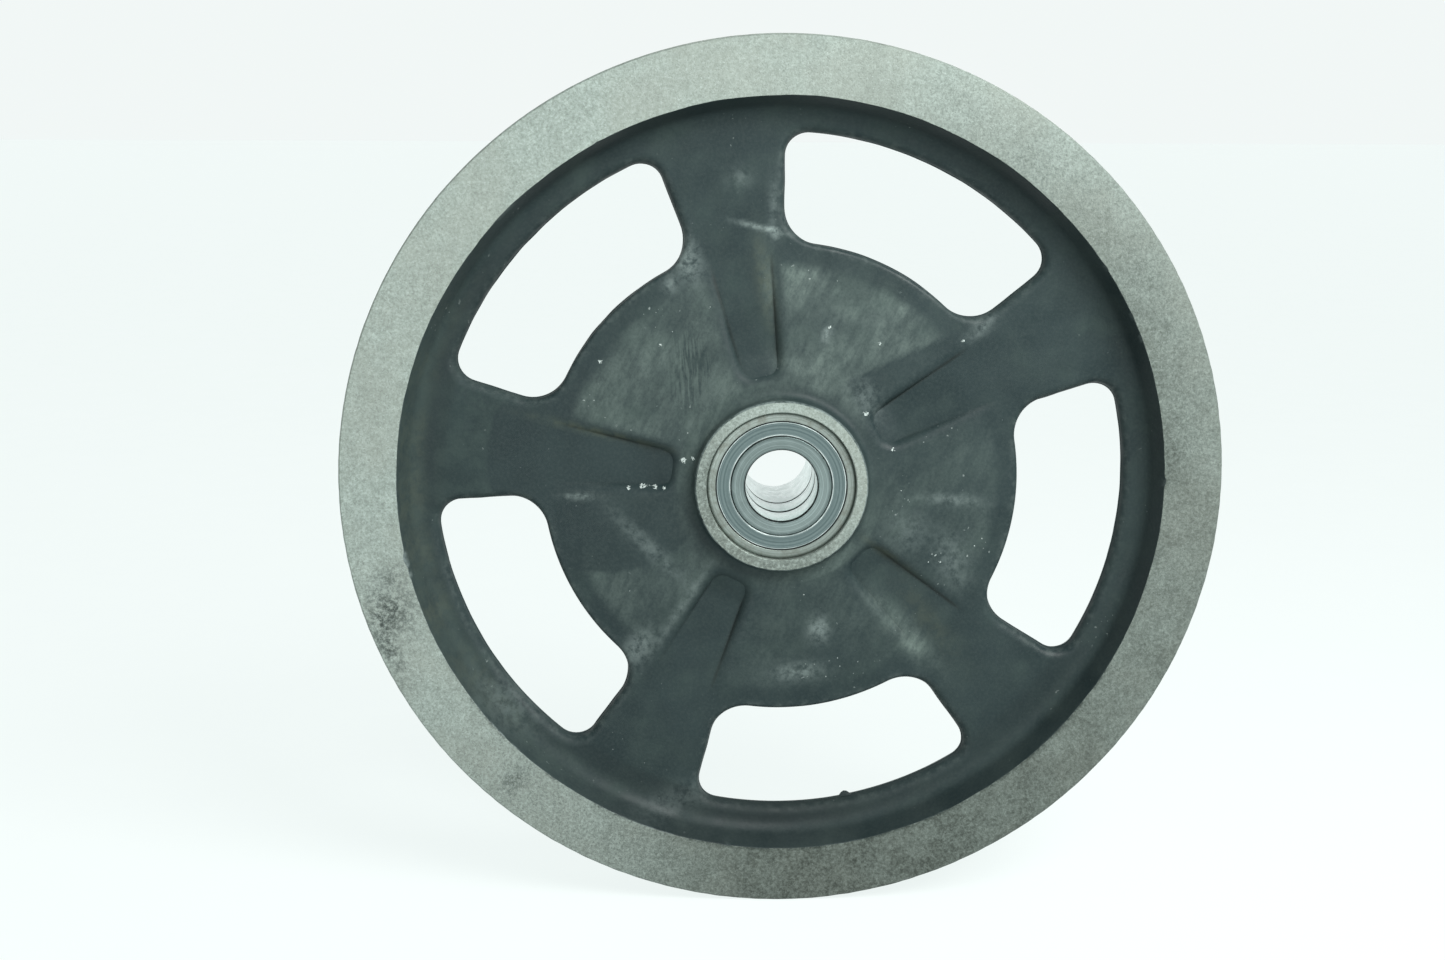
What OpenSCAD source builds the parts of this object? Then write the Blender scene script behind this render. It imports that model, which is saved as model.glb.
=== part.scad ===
// Five-spoke pulley for one V-belt, on two sealed ball bearings with a spacer sleeve behind them.
// Millimetres. The axle lies along Y: -Y is the front of the wheel and +Y is the back.
// The origin is on the axle, in the middle plane of the rim.

/* [Rim] */
// Outside diameter of the rim
rim_d = 305; // [290:1:320]
// Width of the rim between its machined side faces
rim_w = 29; // [27:0.5:34]
// Radial width of each machined side face
side_face_w = 20; // [18.5:0.5:21]
// Slope of the rim's inner wall from the side face towards the web
wall_draft = 24; // [12:1:28]
// Radius of the cove between the rim's inner wall and the web
cove_r = 6.5; // [4:0.5:7]
// Bevel on the outer corners of the rim
rim_bevel = 0.6; // [0.3:0.1:1]

/* [Belt groove] */
// Width of the groove at its mouth
groove_w = 17; // [14:0.5:18]
// Depth of the groove below the rim
groove_depth = 15; // [11:0.5:15.5]
// Full angle between the groove's walls
groove_angle = 38; // [34:1:40]

/* [Web and windows] */
// Thickness of the web and the spokes
web_t = 9; // [7:0.5:11]
// Angle of the first spoke above the horizontal, seen from the front
spoke_angle = 28.6; // [0:0.1:72]
// Number of spokes, with one window between each pair
spoke_count = 5; // [4:1:5]
// Angle that one window spans, as seen from the axle
window_span = 50.2; // [44:0.1:54]
// Radius of the windows' inner edge, which is the hub disc
window_in_r = 83.5; // [80:0.5:86]
// Radius of the windows' outer edge
window_out_r = 120.5; // [118:0.5:121]
// Radius of the windows' two inner corners
corner_in_r = 12.7; // [8:0.1:14]
// Radius of the windows' two outer corners
corner_out_r = 7.6; // [5:0.1:9]

/* [Hub] */
// Radius of the front boss at its machined face
boss_front_r = 29.7; // [29.2:0.1:31]
// Radius of the rear boss at its end
boss_back_r = 32; // [31:0.5:34]
// How far the boss grows in radius from its end to the hub disc
boss_draft = 0.8; // [0.2:0.1:1.5]
// How far the front boss stands behind the rim's front face
boss_inset = 0.85; // [0.5:0.05:1.5]
// Height of the hub disc's cone above the web, on each side
cone_h = 4.5; // [3:0.5:5.5]
// Radius of the fillet round each boss
boss_fillet_r = 3; // [1.5:0.5:3.5]

/* [Hub channels] */
// Distance from the axle to the closed end of a channel
channel_start = 38; // [37:0.5:42]
// Radius of the channel's closed end
channel_end_r = 6.4; // [5:0.1:7]
// Slope of each side of the channel from its centre line
channel_taper = 6.5; // [4:0.5:8]

/* [Bearings] */
// Bore of a bearing and of the spacer sleeve
bearing_bore_d = 25; // [25:0.01:25.02]
// Outside diameter of a bearing
bearing_d = 52; // [52:0.01:52.02]
// Width of a bearing
bearing_w = 15; // [15:0.5:16]
// How far the front bearing stands behind the rim's front face
bearing_inset = 2.6; // [2.2:0.1:3]
// Number of balls in a bearing
ball_count = 9; // [7:1:9]
// Diameter of a ball
ball_d = 7.94; // [7.5:0.01:7.94]
// Radius of the circle through the balls' centres
pitch_r = 19.55; // [19.5:0.01:19.6]

/* [Spacer sleeve] */
// Length of the sleeve behind the rear bearing
sleeve_len = 30.2; // [26:0.1:34]
// Outside diameter of the sleeve
sleeve_d = 33; // [31:0.5:34]

/* [Retaining ring] */
// Thickness of the ring behind the rear bearing
clip_t = 2; // [1.5:0.1:2]
// Outside radius of the ring and of its groove
clip_out_r = 27.5; // [27:0.1:28]
// Metal left in the hub behind the ring's groove
clip_land = 4.5; // [3:0.1:6]

/* [Hidden] */
$fn = 96;
slack = 1;

rim_r = rim_d / 2;
side_in_r = rim_r - side_face_w;
front_y = -rim_w / 2;
window_half = window_span / 2;
first_window = spoke_angle + 180 / spoke_count;

boss_front_y = front_y + boss_inset;
bearing_y = [front_y + bearing_inset + bearing_w / 2, front_y + bearing_inset + 1.5 * bearing_w];
stack_end_y = bearing_y[1] + bearing_w / 2;
clip_groove_w = clip_t + 0.15;
boss_back_y = stack_end_y + clip_groove_w + clip_land;
seat_r = bearing_d / 2;
seat_bevel = 0.45;
cone_foot_r = window_in_r - 1;
channel_len = 70;

bore_r = bearing_bore_d / 2;
ball_r = ball_d / 2;
race_gap = 0.04;
race_r = 1.045 * ball_r;
inner_shoulder_r = 17.4;
outer_shoulder_r = 21.9;
shoulder_half = 4.9;
shield_mouth_r = 22.9;
ring_bevel = 0.9;
bore_bevel = 0.8;

shield_t = 0.5;
shield_edge_r = 23.5;
shield_z = bearing_w / 2 - 0.75;
shield_lip = [17.6, 18.1];
lip_depth = 0.5;

cage_in_r = 18;
cage_out_r = 21.2;
cage_t = 0.7;
pocket_r = ball_r + 0.15;
rivet_r = 0.7;
rivet_head_r = 1.2;
rivet_head_t = 0.45;

clip_in_r = 23;
clip_offset = 0.7;
clip_gap_half = 9;
lug_r = 3;
lug_centre_r = 22.6;
lug_angle = 17;
lug_hole_r = 1.25;

sleeve_bevel = 0.5;

ball_ids = [for (i = [1:ball_count]) str(i)];

// Stands a shape that is built round Z on the axle, with its Z along +Y.
module on_axle(y = 0) translate([0, y, 0]) rotate([-90, 0, 0]) children();

// Repeats a flat shape round the axle at angles that read anticlockwise from the front.
module round_axle(first, count) {
    for (k = [0:count - 1]) rotate(-(first + k * 360 / count)) children();
}

function polar(r, a) = [r * cos(a), r * sin(a)];

// ---------- casting ----------

function arc(centre, r, from, to, steps = 8) =
    [for (i = [0:steps]) centre + polar(r, from + (to - from) * i / steps)];

function mirrored(points) = [for (i = [len(points) - 1:-1:0]) [points[i][0], -points[i][1]]];

// One face of the rim and web as [radius, height], from the cone's foot to the rim's mouth.
function rim_side() =
    let (
        depth = (rim_w - web_t) / 2,
        centre_r = side_in_r - (depth - cove_r) * tan(wall_draft) - cove_r / cos(wall_draft)
    )
    concat(
        [[cone_foot_r, -web_t / 2]],
        arc([centre_r, front_y + depth - cove_r], cove_r, 90, wall_draft),
        [
            [side_in_r, front_y],
            [rim_r - rim_bevel, front_y],
            [rim_r, front_y + rim_bevel],
            [rim_r, -groove_w / 2]
        ]
    );

// One face of the hub: the boss, whose end is at height boss_y below zero, and its fillet.
function hub_side(boss_r, boss_y) =
    let (
        root_r = boss_r + boss_draft,
        slope = atan(cone_h / (cone_foot_r - root_r)),
        root_y = -web_t / 2 - cone_h,
        centre = [root_r + boss_fillet_r, root_y - boss_fillet_r * tan((90 - slope) / 2)]
    )
    concat([[boss_r, boss_y]], arc(centre, boss_fillet_r, 180, 90 + slope));

// Section of the whole casting as [radius, height].
module casting_section() {
    groove_floor = [rim_r - groove_depth, groove_w / 2 - groove_depth * tan(groove_angle / 2)];
    polygon(concat(
        [[seat_r, boss_front_y + seat_bevel], [seat_r + seat_bevel, boss_front_y]],
        hub_side(boss_front_r, boss_front_y),
        rim_side(),
        [[groove_floor[0], -groove_floor[1]], groove_floor],
        mirrored(rim_side()),
        mirrored(hub_side(boss_back_r, -boss_back_y)),
        [
            [seat_r, boss_back_y],
            [seat_r, stack_end_y + clip_groove_w],
            [clip_out_r, stack_end_y + clip_groove_w],
            [clip_out_r, stack_end_y],
            [seat_r, stack_end_y]
        ]
    ));
}

// The lump that a round corner leaves in a window, beside its straight side.
module window_corner(centre_r, r, arc_r, tip_r) {
    centre_angle = window_half - asin(r / centre_r);
    side_r = sqrt(centre_r * centre_r - r * r);
    difference() {
        polygon([
            polar(centre_r, centre_angle),
            polar(arc_r, centre_angle),
            polar(tip_r, window_half + 2),
            polar(side_r, window_half) + polar(slack, window_half + 90),
            polar(side_r, window_half)
        ]);
        translate(polar(centre_r, centre_angle)) circle(r = r);
    }
}

module window_outline() {
    far = window_out_r / cos(window_half) + slack;
    difference() {
        intersection() {
            difference() {
                circle(r = window_out_r, $fn = 240);
                circle(r = window_in_r, $fn = 240);
            }
            polygon([[0, 0], polar(far, -window_half), [far, 0], polar(far, window_half)]);
        }
        for (side = [0, 1]) mirror([0, side]) {
            window_corner(
                window_out_r - corner_out_r, corner_out_r,
                window_out_r + slack, window_out_r + 2 * slack
            );
            window_corner(
                window_in_r + corner_in_r, corner_in_r,
                window_in_r - slack, window_in_r - 2 * slack
            );
        }
    }
}

module channel_outline() {
    centre_x = channel_start + channel_end_r;
    side_y = channel_end_r * cos(channel_taper);
    side_x = centre_x - channel_end_r * sin(channel_taper);
    end_y = side_y + channel_len * tan(channel_taper);
    translate([centre_x, 0]) circle(r = channel_end_r);
    polygon([[side_x, -side_y], [side_x + channel_len, -end_y], [side_x + channel_len, end_y], [side_x, side_y]]);
}

// Sinks the channels of one face down to the spokes' surface.
module channel_cutters() {
    translate([0, 0, front_y])
        linear_extrude(height = (rim_w - web_t) / 2)
            round_axle(spoke_angle, spoke_count)
                intersection() {
                    channel_outline();
                    circle(r = window_in_r + slack, $fn = 240);
                }
}

module pulley_casting() {
    color([0.27, 0.31, 0.31]) on_axle() difference() {
        rotate_extrude($fn = 240) casting_section();
        channel_cutters();
        mirror([0, 0, 1]) channel_cutters();
        translate([0, 0, front_y])
            linear_extrude(height = rim_w)
                round_axle(first_window, spoke_count) window_outline();
    }
}

// ---------- bearings ----------

module outer_ring(y) {
    half = bearing_w / 2;
    color([0.55, 0.54, 0.5]) on_axle(y) rotate_extrude() difference() {
        polygon([
            [outer_shoulder_r, -shoulder_half],
            [shield_mouth_r, -shoulder_half],
            [shield_mouth_r, -half],
            [seat_r - ring_bevel, -half],
            [seat_r, -half + ring_bevel],
            [seat_r, half - ring_bevel],
            [seat_r - ring_bevel, half],
            [shield_mouth_r, half],
            [shield_mouth_r, shoulder_half],
            [outer_shoulder_r, shoulder_half]
        ]);
        translate([pitch_r + ball_r + race_gap - race_r, 0]) circle(r = race_r);
        for (side = [-1, 1])
            translate([shield_mouth_r, side * (shield_z + shield_t / 2)])
                square([2 * (shield_edge_r - shield_mouth_r), shield_t], center = true);
    }
}

module inner_ring(y) {
    half = bearing_w / 2;
    color([0.6, 0.61, 0.62]) on_axle(y) rotate_extrude() difference() {
        polygon([
            [bore_r, -half + bore_bevel],
            [bore_r + bore_bevel, -half],
            [inner_shoulder_r, -half],
            [inner_shoulder_r, half],
            [bore_r + bore_bevel, half],
            [bore_r, half - bore_bevel]
        ]);
        translate([pitch_r - ball_r - race_gap + race_r, 0]) circle(r = race_r);
    }
}

// A shield on one side of a bearing: facing is -1 for the front side and 1 for the back.
module shield(y, facing) {
    lip_w = shield_lip[1] - shield_lip[0];
    color([0.22, 0.25, 0.28]) on_axle(y) mirror([0, 0, facing < 0 ? 1 : 0]) rotate_extrude() {
        translate([shield_lip[0], shield_z]) square([shield_edge_r - shield_lip[0], shield_t]);
        translate([shield_lip[0], shield_z - lip_depth]) square([lip_w, lip_depth + slack / 10]);
    }
}

module ball(y, index) {
    angle = index * 360 / ball_count;
    color([0.75, 0.76, 0.78]) on_axle(y) translate(concat(polar(pitch_r, angle), 0)) sphere(r = ball_r);
}

// One half of the ribbon cage: flat lands between domed pockets.
module cage_half(y, facing) {
    pocket_wall = pocket_r + cage_t;
    color([0.6, 0.58, 0.52]) on_axle(y) mirror([0, 0, facing < 0 ? 1 : 0]) difference() {
        intersection() {
            union() {
                cylinder(r = cage_out_r, h = cage_t);
                for (i = [1:ball_count])
                    translate(concat(polar(pitch_r, i * 360 / ball_count), 0)) sphere(r = pocket_wall);
            }
            difference() {
                cylinder(r = cage_out_r, h = 2 * pocket_wall);
                translate([0, 0, -slack]) cylinder(r = cage_in_r, h = 2 * pocket_wall + 2 * slack);
            }
        }
        for (i = [1:ball_count]) {
            translate(concat(polar(pitch_r, i * 360 / ball_count), 0)) sphere(r = pocket_r);
            translate(concat(polar(pitch_r, (i + 0.5) * 360 / ball_count), -slack))
                cylinder(r = rivet_r, h = cage_t + 2 * slack, $fn = 24);
        }
    }
}

module cage_rivets(y) {
    color([0.7, 0.68, 0.62]) on_axle(y) for (i = [1:ball_count])
        translate(concat(polar(pitch_r, (i + 0.5) * 360 / ball_count), 0)) {
            cylinder(r = rivet_r, h = 2 * cage_t, center = true, $fn = 24);
            for (side = [0, 1]) mirror([0, 0, side]) translate([0, 0, cage_t])
                cylinder(r = rivet_head_r, h = rivet_head_t, $fn = 24);
        }
}

// ---------- behind the bearings ----------

module retaining_ring() {
    gap_reach = 2 * clip_out_r;
    color([0.2, 0.2, 0.2]) on_axle(stack_end_y) rotate([0, 0, 90]) linear_extrude(height = clip_t) difference() {
        union() {
            difference() {
                circle(r = clip_out_r);
                translate([clip_offset, 0]) circle(r = clip_in_r);
                polygon([[0, 0], polar(gap_reach, -clip_gap_half), polar(gap_reach, clip_gap_half)]);
            }
            for (side = [-1, 1]) translate(polar(lug_centre_r, side * lug_angle)) circle(r = lug_r);
        }
        for (side = [-1, 1]) translate(polar(lug_centre_r, side * lug_angle)) circle(r = lug_hole_r, $fn = 32);
    }
}

module spacer_sleeve() {
    out_r = sleeve_d / 2;
    color([0.5, 0.51, 0.52]) on_axle(stack_end_y) rotate_extrude() polygon([
        [bore_r, sleeve_bevel],
        [bore_r + sleeve_bevel, 0],
        [out_r - sleeve_bevel, 0],
        [out_r, sleeve_bevel],
        [out_r, sleeve_len - sleeve_bevel],
        [out_r - sleeve_bevel, sleeve_len],
        [bore_r + sleeve_bevel, sleeve_len],
        [bore_r, sleeve_len - sleeve_bevel]
    ]);
}

// ---------- nodes ----------

pulley_casting();
outer_ring(bearing_y[0]);  // front_outer_ring
outer_ring(bearing_y[1]);  // rear_outer_ring
inner_ring(bearing_y[0]);  // front_inner_ring
inner_ring(bearing_y[1]);  // rear_inner_ring
shield(bearing_y[0], -1);  // front_shield_out
shield(bearing_y[0], 1);  // front_shield_in
shield(bearing_y[1], 1);  // rear_shield_out
shield(bearing_y[1], -1);  // rear_shield_in
cage_half(bearing_y[0], -1);  // front_cage_front
cage_half(bearing_y[0], 1);  // front_cage_back
cage_rivets(bearing_y[0]);  // front_cage_rivets
cage_half(bearing_y[1], -1);  // rear_cage_front
cage_half(bearing_y[1], 1);  // rear_cage_back
cage_rivets(bearing_y[1]);  // rear_cage_rivets
for (i = [1:ball_count]) {
    ball(bearing_y[0], i);
    ball(bearing_y[1], i);
}
retaining_ring();
spacer_sleeve();
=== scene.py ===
"""Looks for the five-spoke V-belt pulley: painted casting with machined rim and boss, two bearings, sleeve.

Shapes are worked out in millimetres in the row frame (axle along Y, front at -Y, Z up) and scaled at the end.
Angles round the axle read anticlockwise from +X, as seen from the front.
"""

import math

import bmesh
import bpy
import numpy as np
from mathutils import Euler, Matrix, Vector
from mathutils.geometry import delaunay_2d_cdt


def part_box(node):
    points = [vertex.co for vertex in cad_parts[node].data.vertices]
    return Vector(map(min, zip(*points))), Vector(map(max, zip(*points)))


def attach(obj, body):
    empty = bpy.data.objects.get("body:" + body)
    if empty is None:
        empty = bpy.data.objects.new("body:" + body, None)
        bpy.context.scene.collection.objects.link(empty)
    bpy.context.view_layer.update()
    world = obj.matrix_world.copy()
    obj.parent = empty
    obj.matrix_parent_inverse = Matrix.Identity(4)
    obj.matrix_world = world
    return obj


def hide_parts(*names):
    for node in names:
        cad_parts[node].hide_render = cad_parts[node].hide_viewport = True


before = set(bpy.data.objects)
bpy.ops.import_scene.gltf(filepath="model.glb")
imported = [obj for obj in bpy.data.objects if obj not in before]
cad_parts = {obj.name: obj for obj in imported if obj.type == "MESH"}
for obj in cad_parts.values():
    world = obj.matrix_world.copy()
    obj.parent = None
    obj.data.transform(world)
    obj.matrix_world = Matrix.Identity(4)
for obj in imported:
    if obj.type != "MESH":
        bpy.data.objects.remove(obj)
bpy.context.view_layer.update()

MM = 0.001
TAU = 2 * math.pi


def cad_mm(node):
    """Lowest and highest corner of a CAD node, in millimetres."""
    low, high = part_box(node)
    return np.array(low) / MM, np.array(high) / MM


# ---------- dimensions taken from the frame ----------

CASTING_LOW, CASTING_HIGH = cad_mm("pulley_casting")
FRONT_LOW, FRONT_HIGH = cad_mm("front_outer_ring")
SLEEVE_LOW, SLEEVE_HIGH = cad_mm("spacer_sleeve")

RIM_R = CASTING_HIGH[0]
FACE_Y = -CASTING_LOW[1]
HUB_BACK_Y = CASTING_HIGH[1]
SEAT_R = FRONT_HIGH[0]
BEARING_HALF = (FRONT_HIGH[1] - FRONT_LOW[1]) / 2
BEARING_MIDDLES = {"front": FRONT_LOW[1] + BEARING_HALF, "rear": FRONT_LOW[1] + 3 * BEARING_HALF}
STACK_END_Y = SLEEVE_LOW[1]

# ---------- driving dimensions of the casting ----------

SIDE_IN_R = RIM_R - 20
WALL_DRAFT = math.radians(24)
COVE_R = 6.5
RIM_BEVEL = 0.6
GROOVE_W = 17
GROOVE_DEPTH = 15
GROOVE_HALF_ANGLE = math.radians(19)

# Heights are measured from the parting plane, in the middle of the rim's width.
WEB_H = 4.5
COVE_UP = FACE_Y - WEB_H - COVE_R
COVE_CENTRE_R = SIDE_IN_R - COVE_UP * math.tan(WALL_DRAFT) - COVE_R / math.cos(WALL_DRAFT)
COVE_CENTRE_H = WEB_H + COVE_R

SPOKES = 5
SPOKE_ANGLE = math.radians(28.6)
SPOKE_STEP = TAU / SPOKES
WINDOW_HALF = math.radians(25.1)
WINDOW_IN_R = 83.5
WINDOW_OUT_R = 120.5
CORNER_IN_R = 12.7
CORNER_OUT_R = 7.6

BOSS_R = 29.7
BOSS_INSET = 0.85
BOSS_DRAFT = 0.8
BOSS_BACK_R = 32
BOSS_FILLET = 3
RETAINER_R = 27.5
RETAINER_W = 2.15
CONE_H = 4.5
CONE_FOOT_R = WINDOW_IN_R - 1
CONE_FOOT_SOFTNESS = 0.16
CONE_TOP_R = BOSS_R + BOSS_DRAFT

# Channels along the spokes, cut into the hub disc: blunt inner end, sides that open outward, sloped walls.
CHANNEL_START = 38
CHANNEL_END_HALF = 6.4
CHANNEL_CORNER = 4.2
CHANNEL_TAPER = math.radians(6.5)
CHANNEL_WALL = 3.6
CHANNEL_SOFTNESS = 2.3
# Share of its depth that a channel loses towards the boss, where it starts to, and over what length.
CHANNEL_FADE = 0.68
CHANNEL_FADE_START = CHANNEL_START + 10
CHANNEL_FADE_REACH = 12

# Rounding of the windows' edges, at the spokes, along the rim and along the hub disc.
EDGE_SPOKE = 3.1
EDGE_RIM = 3.7
EDGE_HUB = 1.5
EDGE_DRAFT = 0.25

# The web's mesh: its two circles, the spacing of its points, and the steps round each revolved part.
SHEET_IN_R = 36.5
SHEET_OUT_R = 127.0
GRID = 1.32
OUTLINE_STEP = 1.15
ROUND_RIM = 600
ROUND_HUB = 216
ROUND_BEARING = 192
# Mesh lines along each channel: distances from its outline, and their length.
CHANNEL_LINES = (-0.8, -0.2, 0.15, 0.5, 0.95, 1.5, 2.2, 3.1, 4.1)
CHANNEL_LINE_REACH = 43.0


def smooth(t):
    """Smoothstep of t, held between 0 and 1."""
    t = np.clip(t, 0, 1)
    return t * t * (3 - 2 * t)


def band(x, low, high, soft):
    """1 between low and high, falling off to 0 over soft outside them."""
    return smooth((x - low) / soft + 1) * smooth((high - x) / soft + 1)


def ripple(x, z, size, seed):
    """Gentle waves of about that size in mm, between -1 and 1, the same at each run."""
    rng = np.random.default_rng(seed)
    total = np.zeros_like(x)
    for angle, phase, stretch in zip(
        rng.uniform(0, TAU, 7), rng.uniform(0, TAU, 7), rng.uniform(0.7, 1.5, 7)
    ):
        k = TAU / (size * stretch)
        total += np.sin(k * (x * math.cos(angle) + z * math.sin(angle)) + phase)
    return total / 3


def rotation(angle):
    """Matrix whose transpose turns rows of flat points anticlockwise."""
    return np.array([[math.cos(angle), -math.sin(angle)], [math.sin(angle), math.cos(angle)]])


def angle_gap(a, b):
    """Signed difference of two angles, within half a turn."""
    return (a - b + math.pi) % TAU - math.pi


# ---------- height of the casting's faces ----------


def channel_distance(x, z, index):
    """Distance in mm from one channel's outline, below zero inside it, and the distance along its spoke."""
    angle = SPOKE_ANGLE + index * SPOKE_STEP
    along = x * math.cos(angle) + z * math.sin(angle)
    across = np.abs(-x * math.sin(angle) + z * math.cos(angle))
    reach = along - CHANNEL_START - CHANNEL_CORNER
    across = across - CHANNEL_END_HALF + CHANNEL_CORNER
    past = reach * math.cos(CHANNEL_TAPER) + across * math.sin(CHANNEL_TAPER) > 0
    side = across * math.cos(CHANNEL_TAPER) - reach * math.sin(CHANNEL_TAPER)
    end = np.hypot(np.minimum(reach, 0), np.maximum(across, 0))
    return np.where(past, side, end) - CHANNEL_CORNER, along


def nearest_channel(x, z):
    """Distance from the nearest channel's outline."""
    return np.min([channel_distance(x, z, k)[0] for k in range(SPOKES)], axis=0)


def cone_height(r):
    """Height of the hub disc, with a soft foot where it meets the spokes."""
    rise = CONE_H * (CONE_FOOT_R - r) / (CONE_FOOT_R - CONE_TOP_R)
    soft = CONE_FOOT_SOFTNESS
    return WEB_H + 0.5 * (rise + np.sqrt(rise * rise + soft * soft)) - soft / 2


def face_height(x, z):
    """Height of the web, hub disc, channels and cove above the parting plane."""
    r = np.hypot(x, z)
    disc = cone_height(r)
    wall = np.clip((nearest_channel(x, z) + 0.2) / CHANNEL_WALL, 0, 1)
    depth = 1 - CHANNEL_FADE * smooth((CHANNEL_FADE_START - r) / CHANNEL_FADE_REACH)
    height = WEB_H + (disc - WEB_H) * (1 - depth * (1 - wall) ** CHANNEL_SOFTNESS)
    out = np.clip(r - COVE_CENTRE_R, 0, COVE_R)
    cove = COVE_CENTRE_H - np.sqrt(COVE_R * COVE_R - out * out) - WEB_H
    uneven = 0.05 * ripple(x, z, 26, 3) + 0.022 * ripple(x, z, 9, 4)
    return height + cove + uneven * smooth((r - SHEET_IN_R) / 6) * smooth((SHEET_OUT_R - r) / 3)


# ---------- windows ----------


def window_outline(centre_angle):
    """Points, outward normals and edge radii round one window."""

    def arc(cx, cy, r, start, end, edge_start, edge_end, outward=True):
        count = max(3, round(abs(end - start) * r / OUTLINE_STEP))
        rows = []
        for i in range(count):
            t = (i + 0.5) / count
            a = start + (end - start) * t
            edge = edge_start + (edge_end - edge_start) * float(smooth(t))
            rows.append((cx + r * math.cos(a), cy + r * math.sin(a), a if outward else a + math.pi, edge))
        return rows

    out_centre = WINDOW_OUT_R - CORNER_OUT_R
    in_centre = WINDOW_IN_R + CORNER_IN_R
    out_angle = WINDOW_HALF - math.asin(CORNER_OUT_R / out_centre)
    in_angle = WINDOW_HALF - math.asin(CORNER_IN_R / in_centre)
    side_out = math.sqrt(out_centre**2 - CORNER_OUT_R**2)
    side_in = math.sqrt(in_centre**2 - CORNER_IN_R**2)
    facing = WINDOW_HALF + math.pi / 2

    def corner(centre_r, angle, radius, start, end, edge_start, edge_end):
        middle = (centre_r * math.cos(angle), centre_r * math.sin(angle))
        return arc(*middle, radius, start, end, edge_start, edge_end)

    side = corner(out_centre, out_angle, CORNER_OUT_R, out_angle, facing, EDGE_RIM, EDGE_SPOKE)
    count = round((side_out - side_in) / OUTLINE_STEP)
    for i in range(count):
        along = side_out + (side_in - side_out) * (i + 0.5) / count
        side.append((along * math.cos(WINDOW_HALF), along * math.sin(WINDOW_HALF), facing, EDGE_SPOKE))
    side += corner(in_centre, in_angle, CORNER_IN_R, facing, in_angle + math.pi, EDGE_SPOKE, EDGE_HUB)
    outline = arc(0, 0, WINDOW_OUT_R, -out_angle, out_angle, EDGE_RIM, EDGE_RIM) + side
    outline += arc(0, 0, WINDOW_IN_R, in_angle, -in_angle, EDGE_HUB, EDGE_HUB, outward=False)
    outline += [(x, -y, -direction, edge) for x, y, direction, edge in reversed(side)]
    x, y, directions, radii = np.array(outline).T
    turn = rotation(centre_angle)
    facing_out = np.column_stack([np.cos(directions), np.sin(directions)])
    return np.column_stack([x, y]) @ turn.T, facing_out @ turn.T, radii


def window_angles():
    """Middle angle of each window."""
    return [SPOKE_ANGLE + (k + 0.5) * SPOKE_STEP for k in range(SPOKES)]


ROUNDING = [math.radians(a) for a in (0, 20, 40, 58, 74, 90)]


def edge_rings(points, normals, radii):
    """Rings from the parting plane up and over a window's edge, as (flat points, height share or drop)."""
    rings = []
    for turn in ROUNDING:
        out = EDGE_DRAFT + radii * (1 - math.cos(turn))
        rings.append((points + normals * out[:, None], radii * (1 - math.sin(turn))))
    rings.append((points + normals * (EDGE_DRAFT + radii + 0.5)[:, None], radii * 0))
    return rings


def circle(r, count):
    """Flat points round a circle."""
    angles = np.arange(count) * TAU / count
    return np.column_stack([r * np.cos(angles), r * np.sin(angles)])


def channel_lines():
    """Lines that follow each channel's wall, so that its crease and crest are sharp in the mesh."""
    lines = []
    corner_x, corner_z = CHANNEL_START + CHANNEL_CORNER, CHANNEL_END_HALF - CHANNEL_CORNER
    for k in range(SPOKES):
        angle = SPOKE_ANGLE + k * SPOKE_STEP
        turn = rotation(angle)
        for offset in CHANNEL_LINES:
            r = CHANNEL_CORNER + offset
            reach = CHANNEL_LINE_REACH * (1 - max(0, offset - 0.2) * 0.03)
            tangent = math.pi / 2 + CHANNEL_TAPER
            steps = int(reach / 1.5)
            start_x, start_z = corner_x + r * math.cos(tangent), corner_z + r * math.sin(tangent)
            side = [
                (start_x + s * math.cos(CHANNEL_TAPER), start_z + s * math.sin(CHANNEL_TAPER))
                for s in np.linspace(reach, 0, steps)
            ]
            bend = [
                (corner_x + r * math.cos(a), corner_z + r * math.sin(a))
                for a in np.linspace(tangent, math.pi, 6)[1:]
            ]
            end = [(corner_x - r, z) for z in np.linspace(corner_z, -corner_z, 5)[1:-1]]
            half = side + bend
            lines.append(np.array(half + end + [(x, -y) for x, y in reversed(half)]) @ turn.T)
    return lines


def filler_points(loops):
    """Even points between the web's circles, clear of the windows and of the lines along the channels."""
    filler = []
    r, row = SHEET_IN_R + 0.8 * GRID, 0
    while r < SHEET_OUT_R - 0.6 * GRID:
        count = round(TAU * r / GRID)
        angles = (np.arange(count) + 0.5 * (row % 2)) * TAU / count
        filler.append(np.column_stack([r * np.cos(angles), r * np.sin(angles)]))
        r += GRID * 0.87
        row += 1
    filler = np.concatenate(filler)
    keep = np.ones(len(filler), bool)
    for angle, loop in zip(window_angles(), loops):
        turned = np.abs(angle_gap(np.arctan2(filler[:, 1], filler[:, 0]), angle)) < WINDOW_HALF + 0.1
        ids = np.nonzero(turned)[0]
        flat = filler[ids]
        keep[ids[inside(flat, loop)]] = False
        for part in np.array_split(np.arange(len(ids)), 8):
            gaps = np.linalg.norm(flat[part][:, None] - loop[None], axis=2).min(1)
            keep[ids[part[gaps < 0.62 * GRID]]] = False
    r = np.hypot(filler[:, 0], filler[:, 1])
    distance = nearest_channel(filler[:, 0], filler[:, 1])
    lined = (distance > CHANNEL_LINES[0] - 0.7) & (distance < CHANNEL_LINES[-1] + 0.7)
    keep &= ~(lined & (r < CHANNEL_START + CHANNEL_END_HALF + CHANNEL_LINE_REACH - 1.5))
    return filler[keep]


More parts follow.
